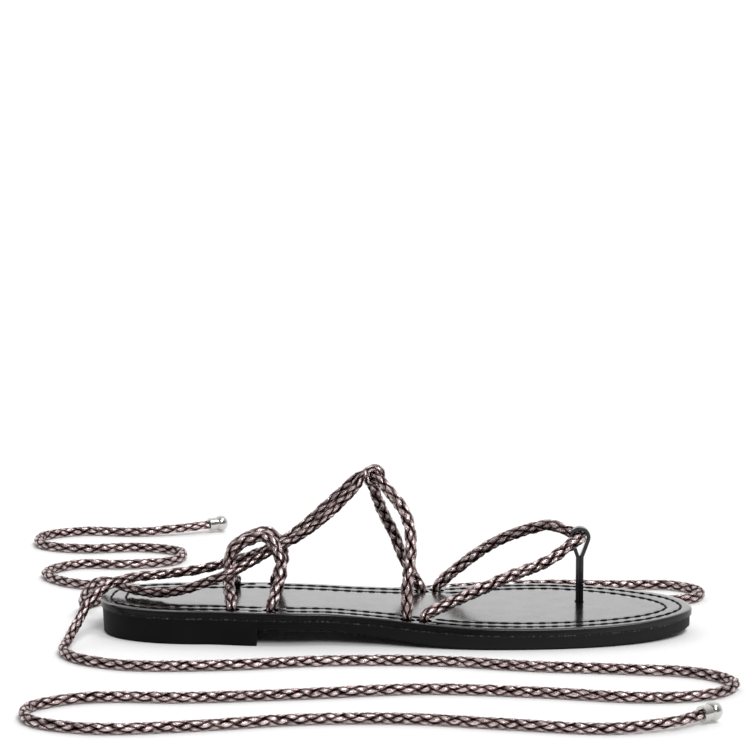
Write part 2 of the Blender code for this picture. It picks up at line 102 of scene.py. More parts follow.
OUTSOLE_RINGS = (0.35, OUTSOLE_EDGE_ROUND)
HEEL_BREAST = (-57.6, -57.0)
HEEL_TAPER = 0.5
BREAST_CLEARANCE = 1.2
SLAB_RISE = 10.0
HEEL_STEPS, MIDDLE_STEPS, TOE_STEPS = 26, 44, 36
TIP_SHARE = 0.992


def smooth_column(rows, column, x):
    """A smooth curve without overshoot through one column of a table, level at both ends."""
    if x <= rows[0][0]:
        return rows[0][column]
    if x >= rows[-1][0]:
        return rows[-1][column]
    slopes = [(b[column] - a[column]) / (b[0] - a[0]) for a, b in zip(rows, rows[1:])]

    def tangent(i):
        if i in (0, len(rows) - 1) or slopes[i - 1] * slopes[i] <= 0:
            return 0.0
        return 2 * slopes[i - 1] * slopes[i] / (slopes[i - 1] + slopes[i])

    i = max(k for k in range(len(rows) - 1) if rows[k][0] <= x)
    width = rows[i + 1][0] - rows[i][0]
    t = (x - rows[i][0]) / width
    start, end = rows[i][column], rows[i + 1][column]
    bend = t * (1 - t) * ((1 - t) * tangent(i) - t * tangent(i + 1)) * width
    return start + (end - start) * t * t * (3 - 2 * t) + bend


def sole_edge(x, side, inset=0.0):
    """The sole's lateral or medial edge at a station, drawn in by an inset."""
    start_x = min(max(x, HEEL_ROUND_X), TOE_START_X[side])
    edge = smooth_column(SIDE_EDGES, 1 + side, start_x) + (inset if side == LATERAL else -inset)
    if x < HEEL_ROUND_X:
        share = (HEEL_ROUND_X - x) / (HEEL_ROUND_X - HEEL_BACK_X - inset)
        middle, power = HEEL_MIDDLE_Y, HEEL_ROUNDNESS[side]
    elif x > TOE_START_X[side]:
        share = (x - TOE_START_X[side]) / (TOE_TIP_X - inset - TOE_START_X[side])
        middle, power = TOE_MIDDLE_Y, TOE_ROUNDNESS[side]
    else:
        return edge
    return middle + (edge - middle) * (1 - min(share, 1.0) ** power) ** (1 / power)


def sole_stations(inset):
    """Stations along the sole, closer together where heel and toe turn in, to just short of the tips."""
    turn = TIP_SHARE * math.pi / 2
    toe_start = TOE_START_X[LATERAL]
    heel_length = HEEL_ROUND_X - HEEL_BACK_X - inset
    toe_length = TOE_TIP_X - inset - toe_start
    heel = [HEEL_ROUND_X - heel_length * math.sin(turn * k / HEEL_STEPS) for k in range(HEEL_STEPS, 0, -1)]
    middle = list(np.linspace(HEEL_ROUND_X, toe_start, MIDDLE_STEPS, endpoint=False))
    toe = [toe_start + toe_length * math.sin(turn * k / TOE_STEPS) for k in range(TOE_STEPS + 1)]
    return heel + middle + toe


def footbed_top(x):
    """Height of the footbed's top at a station."""
    return smooth_column(HEIGHTS, TOP, x)


def sole_slab(name, stations, inset, rise, rings):
    """A flat slab in the sole's outline, with rings inset from the edge of its last face."""
    bpy.ops.object.select_all(action="DESELECT")
    bpy.ops.mesh.primitive_grid_add(x_subdivisions=len(stations) - 1, y_subdivisions=1, size=1.0)
    slab = bpy.context.object
    slab.name = slab.data.name = name
    for vertex in slab.data.vertices:
        station = stations[round((vertex.co.x + 0.5) * (len(stations) - 1))]
        side = MEDIAL if vertex.co.y > 0 else LATERAL
        vertex.co = Vector((station, sole_edge(station, side, inset), 0.0)) * MM
    bpy.ops.object.mode_set(mode="EDIT")
    bpy.ops.mesh.select_all(action="SELECT")
    bpy.ops.mesh.extrude_region_move(TRANSFORM_OT_translate={"value": (0.0, 0.0, rise * MM)})
    for start, end in zip((0.0, *rings), rings):
        bpy.ops.mesh.inset(thickness=(end - start) * MM, use_even_offset=True, use_boundary=True)
    bpy.ops.mesh.select_all(action="SELECT")
    bpy.ops.mesh.normals_make_consistent(inside=False)
    bpy.ops.object.mode_set(mode="OBJECT")
    return slab


def outline_points(inset, count=900):
    """Points round the sole's outline at an inset from the footbed's edge, in millimetres."""
    along = np.sin(np.linspace(-1, 1, count // 2) * math.pi / 2)
    stations = (HEEL_BACK_X + TOE_TIP_X) / 2 + along * (TOE_TIP_X - HEEL_BACK_X - 2 * inset) / 2
    lateral = [(x, sole_edge(x, LATERAL, inset)) for x in stations]
    medial = [(x, sole_edge(x, MEDIAL, inset)) for x in stations]
    return np.array(lateral + medial[::-1])


def distance_in(points, outline):
    """Distance of each point from a closed outline, in millimetres."""
    start, end = outline, np.roll(outline, -1, axis=0)
    along = end - start
    length = np.maximum((along**2).sum(axis=1), 1e-9)
    away = points[:, None, :] - start[None]
    share = np.clip((away * along[None]).sum(axis=2) / length[None], 0, 1)
    nearest = start[None] + share[..., None] * along[None]
    return np.sqrt(((points[:, None, :] - nearest) ** 2).sum(axis=2)).min(axis=1)


def linear(hex_colour):
    """A colour for the shader from an sRGB hex value."""
    channels = [int(hex_colour[k : k + 2], 16) / 255 for k in (1, 3, 5)]
    light = [c / 12.92 if c <= 0.04045 else ((c + 0.055) / 1.055) ** 2.4 for c in channels]
    return (*light, 1.0)


def add_node(material, kind, inputs=None, **settings):
    """Add a shader node with its settings, and with values or links on its input sockets."""
    node = material.node_tree.nodes.new(kind)
    for name, value in settings.items():
        setattr(node, name, value)
    for socket, value in (inputs or {}).items():
        if isinstance(value, bpy.types.NodeSocket):
            material.node_tree.links.new(value, node.inputs[socket])
        else:
            node.inputs[socket].default_value = value
    return node


def new_material(name):
    """An empty Principled material and its shader."""
    material = bpy.data.materials.new(name)
    material.use_nodes = True
    return material, material.node_tree.nodes["Principled BSDF"]


def link(material, output, socket):
    """Join a node's output to a shader's input."""
    material.node_tree.links.new(output, socket)


def finish_piece(piece, material, slot, *cad_nodes):
    """Give a piece its material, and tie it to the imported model."""
    piece.data.materials.clear()
    piece.data.materials.append(material)
    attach(piece, "root")
    if cad_nodes:
        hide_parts(*cad_nodes)


def smooth_by_angle(piece, degrees):
    """Shade a piece smooth but for its sharp edges."""
    bpy.ops.object.select_all(action="DESELECT")
    piece.select_set(True)
    bpy.context.view_layer.objects.active = piece
    bpy.ops.object.shade_smooth_by_angle(angle=math.radians(degrees))


def outsole_place(x, y, on_floor_side, inset):
    """Where a corner of the slab ends up: at the joint with the footbed, or at the underside."""
    if not on_floor_side:
        return x, y, footbed_top(x) - FOOTBED_THICKNESS - GAP
    on_heel = x < sum(HEEL_BREAST) / 2
    under = 0.0 if on_heel else smooth_column(HEIGHTS, UNDER, x)
    if inset < OUTSOLE_EDGE_ROUND / 2:
        under += OUTSOLE_EDGE_ROUND
    if on_heel:
        away = Vector((min(0.0, x - HEEL_ROUND_X), y - HEEL_MIDDLE_Y))
        away *= max(0.0, 1 - HEEL_TAPER / max(away.length, 2 * HEEL_TAPER))
        x = max(x, HEEL_ROUND_X + away.x)
        y = HEEL_MIDDLE_Y + away.y
    return x, y, under


outsole_stations = list(HEEL_BREAST)
for station in sole_stations(OUTSOLE_STEP):
    if min(abs(station - edge) for edge in HEEL_BREAST) > BREAST_CLEARANCE:
        outsole_stations.append(station)
outsole = sole_slab(
    "outsole_moulding", sorted(outsole_stations), OUTSOLE_STEP, -SLAB_RISE, OUTSOLE_RINGS,
)
flat_places = np.array([vertex.co for vertex in outsole.data.vertices]) / MM
flat_insets = distance_in(flat_places[:, :2], outline_points(OUTSOLE_STEP))
below_joint = outsole.data.attributes.new("below_joint", "FLOAT", "POINT")
for vertex, place, inset in zip(outsole.data.vertices, flat_places, flat_insets):
    x, y, z = outsole_place(place[0], place[1], place[2] < -SLAB_RISE / 2, inset)
    below_joint.data[vertex.index].value = footbed_top(x) - FOOTBED_THICKNESS - GAP - z
    vertex.co = Vector((x, y, z)) * MM
smooth_by_angle(outsole, 32)

# Moulded rubber: a dull black skin with a fine tooth, greyer towards the toe as painted light, and pale
# traces of dried glue at the joint.
PAINTED_LIGHT_START_X, PAINTED_LIGHT_END_X = -60.0, 124.0


def towards_toe(material, place, start_x, end_x):
    """How far a place lies between two stations along the sandal, from 0 to 1."""
    split = add_node(material, "ShaderNodeSeparateXYZ", {"Vector": place})
    share = add_node(
        material, "ShaderNodeMapRange",
        {"Value": split.outputs["X"], 1: start_x * MM, 2: end_x * MM, 3: 0.0, 4: 1.0},
    )
    return share.outputs[0]


rubber, shader = new_material("moulded_black_rubber")
shader.inputs["Roughness"].default_value = 0.6
shader.inputs["Specular IOR Level"].default_value = 0.12
place = add_node(rubber, "ShaderNodeTexCoord").outputs["Object"]
# The real tooth is about 0.2 mm. That is too fine to show, so it is drawn coarser.
RUBBER_TOOTH_MM = 0.5
RUBBER_CLOUD_MM = 14.0
GLUE_SPECK_MM = 1.1
tooth = add_node(
    rubber, "ShaderNodeTexNoise", {"Vector": place, "Scale": 1 / (RUBBER_TOOTH_MM * MM), "Detail": 4.0},
)
cloud = add_node(
    rubber, "ShaderNodeTexNoise", {"Vector": place, "Scale": 1 / (RUBBER_CLOUD_MM * MM), "Detail": 3.0},
)
dust = add_node(rubber, "ShaderNodeValToRGB", {"Fac": cloud.outputs["Fac"]})
dust.color_ramp.elements[0].position = 0.35
dust.color_ramp.elements[0].color = linear("#070708")
dust.color_ramp.elements[1].position = 0.75
dust.color_ramp.elements[1].color = linear("#0e0e0f")
# Painted light: towards the toe the rubber is mixed to a lighter grey, as where light falls from the right.
painted_toe_light = add_node(
    rubber, "ShaderNodeMix",
    {
        "Factor": towards_toe(rubber, place, PAINTED_LIGHT_START_X, PAINTED_LIGHT_END_X),
        6: dust.outputs["Color"],
        7: linear("#242425"),
    },
    data_type="RGBA",
)
joint = add_node(rubber, "ShaderNodeAttribute", attribute_name="below_joint").outputs["Fac"]
near_joint = add_node(rubber, "ShaderNodeMapRange", {"Value": joint, 1: 0.15, 2: 0.8, 3: 1.0, 4: 0.0})
speck = add_node(
    rubber, "ShaderNodeTexNoise", {"Vector": place, "Scale": 1 / (GLUE_SPECK_MM * MM), "Detail": 5.0},
)
speck_edge = add_node(
    rubber, "ShaderNodeMapRange", {"Value": speck.outputs["Fac"], 1: 0.53, 2: 0.7, 3: 0.05, 4: 0.65},
)
glue = add_node(
    rubber, "ShaderNodeMath", {0: near_joint.outputs[0], 1: speck_edge.outputs[0]}, operation="MULTIPLY",
)
rubber_colour = add_node(
    rubber, "ShaderNodeMix",
    {"Factor": glue.outputs[0], 6: painted_toe_light.outputs[2], 7: linear("#9a9892")}, data_type="RGBA",
)
tooth_bump = add_node(
    rubber, "ShaderNodeBump", {"Height": tooth.outputs["Fac"], "Strength": 0.25, "Distance": 0.1 * MM},
)
link(rubber, rubber_colour.outputs[2], shader.inputs["Base Color"])
link(rubber, tooth_bump.outputs["Normal"], shader.inputs["Normal"])
finish_piece(outsole, rubber, "outsole", "outsole")

# Footbed
# A thin board wrapped in smooth black faux leather with a rolled edge. Two rows of stitching sit in
# shallow channels all round, and the straps go down through round holes just inside the edge.
FOOTBED_ROLL_WIDTH, FOOTBED_ROLL_DEPTH = 1.0, 0.8
EDGE_WALL_INSET = 0.1
STITCH_ROWS = (4.6, 10.8)
CHANNEL_DEPTH = 0.14
CHANNEL_HALF_WIDTH = 0.55
FOOTBED_RINGS = (
    0.05, 0.15, 0.3, 0.55, 1.0, 2.4, 3.8, 4.2, 4.6, 5.0, 5.5, 7.6, 9.9, 10.4, 10.8, 11.2, 11.7, 15.0,
)
HOLE_RADIUS = 3.3
HOLE_DEPTH = 12.0
STRAP_HOLES = (
    # x, y: the thong's two, the instep loop's two, then each heel loop's
    (11.3, -34.4),
    (17.6, 24.2),
    (4.4, -35.3),
    (10.9, 20.6),
    (-67.9, -29.9),
    (-51.7, -31.6),
    (-67.9, 17.0),
    (-51.7, 18.7),
)
POST_X = 77.8
POST_Y = 7.6
POST_SLOT = (3.8, 4.6)


def footbed_drop(inset):
    """How far the cover lies below the footbed's top: round at the edge, sunk along the stitching."""
    roll = 1 - min(inset / FOOTBED_ROLL_WIDTH, 1.0)
    drop = FOOTBED_ROLL_DEPTH * (1 - math.sqrt(1 - roll * roll))
    for row in STITCH_ROWS:
        drop += CHANNEL_DEPTH * math.exp(-(((inset - row) / CHANNEL_HALF_WIDTH) ** 2))
    return drop


def cut_holes(piece, cutters):
    """Cut a group of shapes out of a piece and remove them."""
    for cutter in cutters:
        hole = piece.modifiers.new(cutter.name, "BOOLEAN")
        hole.operation = "DIFFERENCE"
        hole.object = cutter
    bpy.ops.object.select_all(action="DESELECT")
    piece.select_set(True)
    bpy.context.view_layer.objects.active = piece
    for cutter in cutters:
        bpy.ops.object.modifier_apply(modifier=cutter.name)
        bpy.data.objects.remove(cutter, do_unlink=True)


footbed = sole_slab("footbed_cover", sole_stations(0.0), 0.0, SLAB_RISE, FOOTBED_RINGS)
flat_places = np.array([vertex.co for vertex in footbed.data.vertices]) / MM
flat_insets = distance_in(flat_places[:, :2], outline_points(0.0))
edge_wall = footbed.data.attributes.new("edge_wall", "FLOAT", "POINT")
for vertex, place, inset in zip(footbed.data.vertices, flat_places, flat_insets):
    edge_wall.data[vertex.index].value = 1.0 if inset < EDGE_WALL_INSET else 0.0
    top = footbed_top(place[0])
    height = top - footbed_drop(inset) if place[2] > SLAB_RISE / 2 else top - FOOTBED_THICKNESS
    vertex.co.z = height * MM
hole_cutters = []
for number, (x, y) in enumerate(STRAP_HOLES):
    bpy.ops.mesh.primitive_cylinder_add(
        vertices=32, radius=HOLE_RADIUS * MM, depth=HOLE_DEPTH * MM,
        location=Vector((x, y, footbed_top(x))) * MM,
    )
    bpy.context.object.name = f"strap_hole_{number}"
    hole_cutters.append(bpy.context.object)
bpy.ops.mesh.primitive_cube_add(size=1.0, location=Vector((POST_X, POST_Y, footbed_top(POST_X))) * MM)
bpy.context.object.name = "post_slot"
bpy.context.object.scale = Vector((*POST_SLOT, HOLE_DEPTH)) * MM
hole_cutters.append(bpy.context.object)
bpy.context.view_layer.update()
cut_holes(footbed, hole_cutters)
smooth_by_angle(footbed, 40)

# Coated faux leather: a smooth semi-gloss film over a faint pebble, with slow waves from the board below.
# The edge of the board is painted dull black, with painted light making it greyer towards the toe.
EDGE_PAINTED_LIGHT_START_X = 30.0
faux_leather, shader = new_material("smooth_black_faux_leather")
shader.inputs["Specular IOR Level"].default_value = 0.2
shader.inputs["Coat Roughness"].default_value = 0.14
place = add_node(faux_leather, "ShaderNodeTexCoord").outputs["Object"]
# The real pebble is about 0.5 mm. That is too fine to show, so it is drawn coarser.
PEBBLE_MM = 0.9
WAVE_MM = 24.0
RUBBED_MM = 9.0
pebble = add_node(faux_leather, "ShaderNodeTexVoronoi", {"Vector": place, "Scale": 1 / (PEBBLE_MM * MM)})
waves = add_node(
    faux_leather, "ShaderNodeTexNoise", {"Vector": place, "Scale": 1 / (WAVE_MM * MM), "Detail": 2.0},
)
rubbed = add_node(
    faux_leather, "ShaderNodeTexNoise", {"Vector": place, "Scale": 1 / (RUBBED_MM * MM), "Detail": 6.0},
)
gloss = add_node(
    faux_leather, "ShaderNodeMapRange", {"Value": rubbed.outputs["Fac"], 1: 0.3, 2: 0.7, 3: 0.2, 4: 0.3},
)
on_wall = add_node(faux_leather, "ShaderNodeAttribute", attribute_name="edge_wall").outputs["Fac"]
coat = add_node(faux_leather, "ShaderNodeMapRange", {"Value": on_wall, 1: 0.0, 2: 1.0, 3: 0.9, 4: 0.02})
# Painted light: the board's edge is mixed to a lighter grey towards the toe, as where light falls from the
# right.
forward = towards_toe(faux_leather, place, EDGE_PAINTED_LIGHT_START_X, PAINTED_LIGHT_END_X)
painted_edge_light = add_node(faux_leather, "ShaderNodeMath", {0: forward, 1: on_wall}, operation="MULTIPLY")
leather_colour = add_node(
    faux_leather, "ShaderNodeMix",
    {"Factor": painted_edge_light.outputs[0], 6: linear("#08080a"), 7: linear("#2a2a2a")}, data_type="RGBA",
)
wave_bump = add_node(
    faux_leather, "ShaderNodeBump", {"Height": waves.outputs["Fac"], "Strength": 0.25, "Distance": 0.4 * MM},
)
pebble_bump = add_node(
    faux_leather, "ShaderNodeBump",
    {
        "Height": pebble.outputs["Distance"],
        "Strength": 0.12,
        "Distance": 0.05 * MM,
        "Normal": wave_bump.outputs[0],
    },
)
link(faux_leather, leather_colour.outputs[2], shader.inputs["Base Color"])
link(faux_leather, gloss.outputs[0], shader.inputs["Roughness"])
link(faux_leather, coat.outputs[0], shader.inputs["Coat Weight"])
link(faux_leather, pebble_bump.outputs["Normal"], shader.inputs["Normal"])
finish_piece(footbed, faux_leather, "footbed", "footbed")

# Footbed stitching
# Waxed black thread in two rows, laid by machine in the cover's channels. Each stitch dives into its
# hole at both ends, where the thread below just shows, and the rows break where a strap goes through.
STITCH_PITCH = 5.2
STITCH_LENGTH = 4.1
STITCH_UNEVEN = 0.14
STITCH_PARTS = (
    # ahead by a share of the pitch, share of the length, share of the height
    (0.0, 1.0, 1.0),
    (0.5, 0.6, 0.5),
)
THREAD_WIDTH = 1.1
THREAD_HEIGHT = 1.0
THREAD_LIFT = 0.08
OUTLINE_SPACING = 1.5

bpy.ops.mesh.primitive_uv_sphere_add(segments=8, ring_count=8, radius=0.5)
one_stitch = bpy.context.object
stitch_shape = np.array([vertex.co for vertex in one_stitch.data.vertices])
stitch_shape = stitch_shape[:, [2, 0, 1]] * (STITCH_LENGTH, THREAD_WIDTH, THREAD_HEIGHT)
stitch_faces = [tuple(face.vertices) for face in one_stitch.data.polygons]
bpy.data.objects.remove(one_stitch, do_unlink=True)


def evenly(points, pitch):
    """Points at an even pitch along a line, with the line's direction there."""
    steps = np.linalg.norm(np.diff(points, axis=0), axis=1)
    length = np.concatenate([[0.0], np.cumsum(steps)])
    goals = np.linspace(0, length[-1], max(2, round(length[-1] / pitch)), endpoint=False)
    places = np.stack([np.interp(goals, length, column) for column in points.T], axis=1)
    ahead = np.stack([np.interp(goals + 0.5, length, column) for column in points.T], axis=1)
    return places, (ahead - places) / np.linalg.norm(ahead - places, axis=1)[:, None]


def inset_line(inset):
    """The line at an inset from the footbed's edge, measured square to the edge."""
    outline = outline_points(0.0)
    outline, along = evenly(np.vstack([outline, outline[:1]]), OUTLINE_SPACING)
    inward = np.stack([-along[:, 1], along[:, 0]], axis=1)
    line = outline + inward * inset
    return np.vstack([line, line[:1]])


stitch_vertices = []
stitch_polygons = []
for row in STITCH_ROWS:
    for number, ((x, y), (along_x, along_y)) in enumerate(zip(*evenly(inset_line(row), STITCH_PITCH))):
        to_hole = min(math.hypot(x - hole_x, y - hole_y) for hole_x, hole_y in STRAP_HOLES)
        if to_hole < HOLE_RADIUS + STITCH_LENGTH / 2:
            continue
        height = footbed_top(x) - CHANNEL_DEPTH + THREAD_LIFT
        slope = (footbed_top(x + along_x) - footbed_top(x - along_x)) / 2
        wander = STITCH_UNEVEN * math.sin(12.9 * number + row)
        for ahead, length_share, height_share in STITCH_PARTS:
            first = len(stitch_vertices)
            for length, width, rise in stitch_shape:
                along = ahead * STITCH_PITCH + length * length_share * (1 + wander)
                aside = width + wander
                stitch_vertices.append((
                    (x + along_x * along - along_y * aside) * MM,
                    (y + along_y * along + along_x * aside) * MM,
                    (height + rise * height_share + slope * along) * MM,
                ))
            stitch_polygons += [tuple(first + corner for corner in face) for face in stitch_faces]
stitch_mesh = bpy.data.meshes.new("footbed_stitching")
stitch_mesh.from_pydata(stitch_vertices, [], stitch_polygons)
stitching = bpy.data.objects.new("footbed_stitching", stitch_mesh)
bpy.context.scene.collection.objects.link(stitching)
smooth_by_angle(stitching, 60)

# Waxed thread: deep black with a low shine and a fine twist along each stitch.
thread, shader = new_material("waxed_black_thread")
shader.inputs["Base Color"].default_value = linear("#040404")
shader.inputs["Roughness"].default_value = 0.5
shader.inputs["Specular IOR Level"].default_value = 0.1
place = add_node(thread, "ShaderNodeTexCoord").outputs["Object"]
TWIST_MM = 0.45
twist = add_node(
    thread, "ShaderNodeTexNoise", {"Vector": place, "Scale": 1 / (TWIST_MM * MM), "Detail": 2.0},
)
twist_bump = add_node(
    thread, "ShaderNodeBump", {"Height": twist.outputs["Fac"], "Strength": 0.4, "Distance": 0.1 * MM},
)
link(thread, twist_bump.outputs["Normal"], shader.inputs["Normal"])
finish_piece(stitching, thread, "footbed")

# Toe post
# A narrow glossy black strap, folded once round the toe thong. Its two plies meet below the thong and go
# down through a slot in the footbed.
POST_RING_Z = 37.0
POST_RING_MIDDLE = 3.65
POST_STRAP_THICKNESS = 1.6
POST_STRAP_WIDTH = 4.0
POST_FOLD_DROP = 8.5
POST_ARC_STEPS = 28
POST_PLY_STEPS = 6
POST_PLY_CLEARANCE = 0.01
POST_EDGE_ROUND = 0.28


def post_fold():
    """The strap's middle line: up the back ply, round the thong and down the front ply."""
    half_ply = POST_STRAP_THICKNESS / 2
    reach = math.hypot(half_ply, POST_FOLD_DROP)
    start = math.asin(POST_RING_MIDDLE / reach) - math.atan2(half_ply, POST_FOLD_DROP)
    arc = []
    for k in range(POST_ARC_STEPS + 1):
        angle = math.pi + start - (math.pi + 2 * start) * k / POST_ARC_STEPS
        arc.append((POST_RING_MIDDLE * math.cos(angle), POST_RING_Z + POST_RING_MIDDLE * math.sin(angle)))
    bottom = footbed_top(POST_X) - FOOTBED_THICKNESS + GAP
    ply_heights = np.linspace(POST_RING_Z - POST_FOLD_DROP, bottom, POST_PLY_STEPS)
    ply = [(half_ply + POST_PLY_CLEARANCE, z) for z in ply_heights]
    return [(-x, z) for x, z in ply[::-1]] + arc + ply


fold = post_fold()
bpy.ops.object.select_all(action="DESELECT")
bpy.ops.mesh.primitive_grid_add(x_subdivisions=len(fold) - 1, y_subdivisions=4, size=1.0)
toe_post = bpy.context.object
toe_post.name = toe_post.data.name = "toe_post_strap"
for vertex in toe_post.data.vertices:
    x, z = fold[round((vertex.co.x + 0.5) * (len(fold) - 1))]
    vertex.co = Vector((POST_X + x, POST_Y + vertex.co.y * POST_STRAP_WIDTH, z)) * MM
wall = toe_post.modifiers.new("wall", "SOLIDIFY")
wall.thickness = POST_STRAP_THICKNESS * MM
wall.offset = 0.0
soft_edge = toe_post.modifiers.new("soft_edge", "BEVEL")
soft_edge.width = POST_EDGE_ROUND * MM
soft_edge.segments = 3
soft_edge.angle_limit = math.radians(50)
for modifier in ("wall", "soft_edge"):
    bpy.ops.object.modifier_apply(modifier=modifier)
smooth_by_angle(toe_post, 50)

# Patent strap: black film with a hard clear gloss, slightly uneven from the fold.
patent, shader = new_material("glossy_black_patent_strap")
shader.inputs["Base Color"].default_value = linear("#0b090d")
shader.inputs["Roughness"].default_value = 0.18
shader.inputs["Coat Weight"].default_value = 0.4
shader.inputs["Coat Roughness"].default_value = 0.08
place = add_node(patent, "ShaderNodeTexCoord").outputs["Object"]
PATENT_WAVE_MM = 2.5
wave = add_node(
    patent, "ShaderNodeTexNoise", {"Vector": place, "Scale": 1 / (PATENT_WAVE_MM * MM), "Detail": 2.0},
)
wave_bump = add_node(
    patent, "ShaderNodeBump", {"Height": wave.outputs["Fac"], "Strength": 0.3, "Distance": 0.2 * MM},
)
link(patent, wave_bump.outputs["Normal"], shader.inputs["Normal"])
finish_piece(toe_post, patent, "toe_post", "toe_post")

# Braided straps
# Round eight-strand braids of folded metallic faux-leather strip: the toe thong, the instep loop and two
# heel loops. Each end goes down through a hole in the footbed and is glued between footbed and outsole.
STRAP_RADIUS = 2.65
STRAP_CELL = 7.4
STRANDS_EACH_WAY = 4
STRIP_HALF_ANGLE = 43.0
STRIP_MIDDLE, STRIP_RIDE, STRIP_THICKNESS = 0.82, 0.25, 0.2
STRIP_DOME, STRIP_TILT, STRIP_FOLD = 0.11, 0.17, 0.13
STRIP_UNEVEN = 0.16
WIDTH_CELLS, TILT_CELLS, FOLD_CELLS = 2.3, 1.1, 0.9
# How a strand's height maps to painted shade and painted highlight, with more painted shade at the strip's
# edges.
PAINTED_SHADE_BASE, PAINTED_SHADE_RANGE, EDGE_PAINTED_SHADE = 0.6, 0.4, 0.22
STRIP_SECTION = (
    # on the outer face, across the strip from its middle
    (True, -1.0),
    (True, -0.5),
    (True, 0.0),
    (True, 0.5),
    (True, 1.0),
    (False, 0.7),
    (False, -0.7),
)
SECTION_STEP = 0.75
SHADE_CORE_SHARE, SHADE_CORE_CORNERS = 0.62, 8
STRAND_OFFSET = 31
LOOP_MIRROR_Y = -6.45
HOLE_GRIP = (0.78, 2.5)
FOOT_RISE = 1.2
STRAP_FACING = (0.0, -1.0, 0.25)
FILM_PATCH_MM = 3.0
CREASE_MM, CREASES_AROUND = 2.5, 6.0


def smooth_path(route, spacing):
    """Even points on a smooth curve through a route's own points, in millimetres."""
    knots = np.array(route, dtype=float)
    chords = np.linalg.norm(np.diff(knots, axis=0), axis=1)
    before = np.concatenate([[0.0], chords])
    after = np.concatenate([chords, [0.0]])
    ahead = np.vstack([knots[1:], knots[-1:]])
    behind = np.vstack([knots[:1], knots[:-1]])
    tangents = (ahead - behind) / (before + after)[:, None]
    fine = [knots[:1]]
    t = np.linspace(0, 1, 41)[1:, None]
    for i, chord in enumerate(chords):
        fine.append(
            knots[i] * (1 + 2 * t) * (1 - t) ** 2
            + tangents[i] * chord * t * (1 - t) ** 2
            + knots[i + 1] * t * t * (3 - 2 * t)
            + tangents[i + 1] * chord * t * t * (t - 1)
        )
    fine = np.vstack(fine)
    length = np.concatenate([[0.0], np.cumsum(np.linalg.norm(np.diff(fine, axis=0), axis=1))])
    goals = np.linspace(0, length[-1], max(2, round(length[-1] / spacing)) + 1)
    return np.stack([np.interp(goals, length, column) for column in fine.T], axis=1)


def unit(vectors):
    """Vectors brought to length one."""
    return vectors / np.maximum(np.linalg.norm(vectors, axis=-1, keepdims=True), 1e-9)


def carried_frame(path, facing):
    """Two directions square to a path, carried along it untwisted, the first starting towards facing."""
    along = unit(np.gradient(path, axis=0))
    across = np.zeros_like(path)
    carried = np.array(facing, dtype=float)
    for i, direction in enumerate(along):
        carried = unit(carried - direction * (carried @ direction))
        across[i] = carried
    return across, np.cross(along, across)


def uneven(length, span, number):
    """A slow wander between -1 and 1 along a cord, different for each strand."""
    phase = 1.7 * number * number + 0.6 * number
    return (np.sin(length / span * 2.9 + phase) + np.sin(length / span * 4.7 + 2.1 * phase)) / 2


def braid_strands(path, radius, cell, facing):
    """Rings of corners for the strands of a round braid along a path, and for a dark core of painted shade.

    radius is one value for each point of the path. Half of the strands wind each way. They cover the cord
    with diamonds one cell long, and each strand lies on top in every second diamond on its way."""
    across, upright = carried_frame(path, facing)
    length = np.concatenate([[0.0], np.cumsum(np.linalg.norm(np.diff(path, axis=0), axis=1))])
    wave = 2 * math.pi * length / cell

    def on_round(angle, share):
        out = np.cos(angle)[:, None] * across + np.sin(angle)[:, None] * upright
        return path + out * (radius * share)[:, None]

    strands = []
    for number in range(2 * STRANDS_EACH_WAY):
        winding = 1 if number % 2 else -1
        middle = winding * wave / STRANDS_EACH_WAY + 2 * math.pi * (number // 2) / STRANDS_EACH_WAY
        widened = 1 + STRIP_UNEVEN * uneven(length, WIDTH_CELLS * cell, number)
        half_angle = math.radians(STRIP_HALF_ANGLE) * widened
        tilt = STRIP_TILT * uneven(length, TILT_CELLS * cell, number + 4)
        fold = STRIP_FOLD * (0.5 + 0.5 * uneven(length, FOLD_CELLS * cell, number + 9))
        corners = []
        heights = []
        for is_outer, place in STRIP_SECTION:
            angle = middle + place * half_angle
            over = winding * (np.cos(wave) + np.cos(STRANDS_EACH_WAY * angle)) / 2
            share = STRIP_MIDDLE + STRIP_RIDE * over
            share = share + tilt * place - STRIP_DOME * place**2
            if is_outer:
                share = share - fold * max(0.0, 1 - 2 * abs(place))
            else:
                share = share - STRIP_THICKNESS
            corners.append(on_round(angle, share))
            # The corner's height sets its colour: painted shade down between strands and at the edges, a
            # painted highlight on tops.
            heights.append((share - PAINTED_SHADE_BASE) / PAINTED_SHADE_RANGE - EDGE_PAINTED_SHADE * place**2)
        strands.append((np.stack(corners, axis=1), np.stack(heights, axis=1)))
    # A dark core at the lowest height, standing in for the shade down inside the braid: painted shade.
    shade_core = []
    for k in range(SHADE_CORE_CORNERS):
        shade_core.append(on_round(np.full(len(path), 2 * math.pi * k / SHADE_CORE_CORNERS), SHADE_CORE_SHARE))
    shade_core = np.stack(shade_core, axis=1)
    strands.append((shade_core, np.zeros(shade_core.shape[:2])))
    return strands, length


